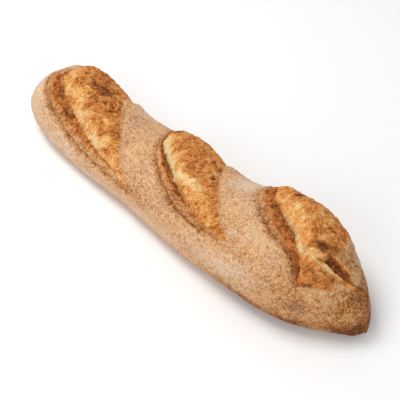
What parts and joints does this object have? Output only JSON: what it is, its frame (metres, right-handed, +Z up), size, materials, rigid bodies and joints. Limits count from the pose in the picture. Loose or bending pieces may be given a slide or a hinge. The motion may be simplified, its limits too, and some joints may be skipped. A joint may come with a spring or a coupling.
{
  "type": "baguette",
  "caption": "Rustic baguette with a blunt far end, a drawn-out near end and diagonal scores torn open along its top, resting on a flat base.",
  "frame": {"origin": "middle of the bottom of the loaf's bounding box, on the surface it rests on", "axes": "+X along the loaf towards its pointed end, +Z up, -Y towards the side on which the scores run down lowest"},
  "size_m": [0.346, 0.0902, 0.0695],
  "materials": {
    "crust": "matte baked crust, lightly floured"
  },
  "bodies": {
    "root": {"loaf": "crust"}
  },
  "joints": []
}
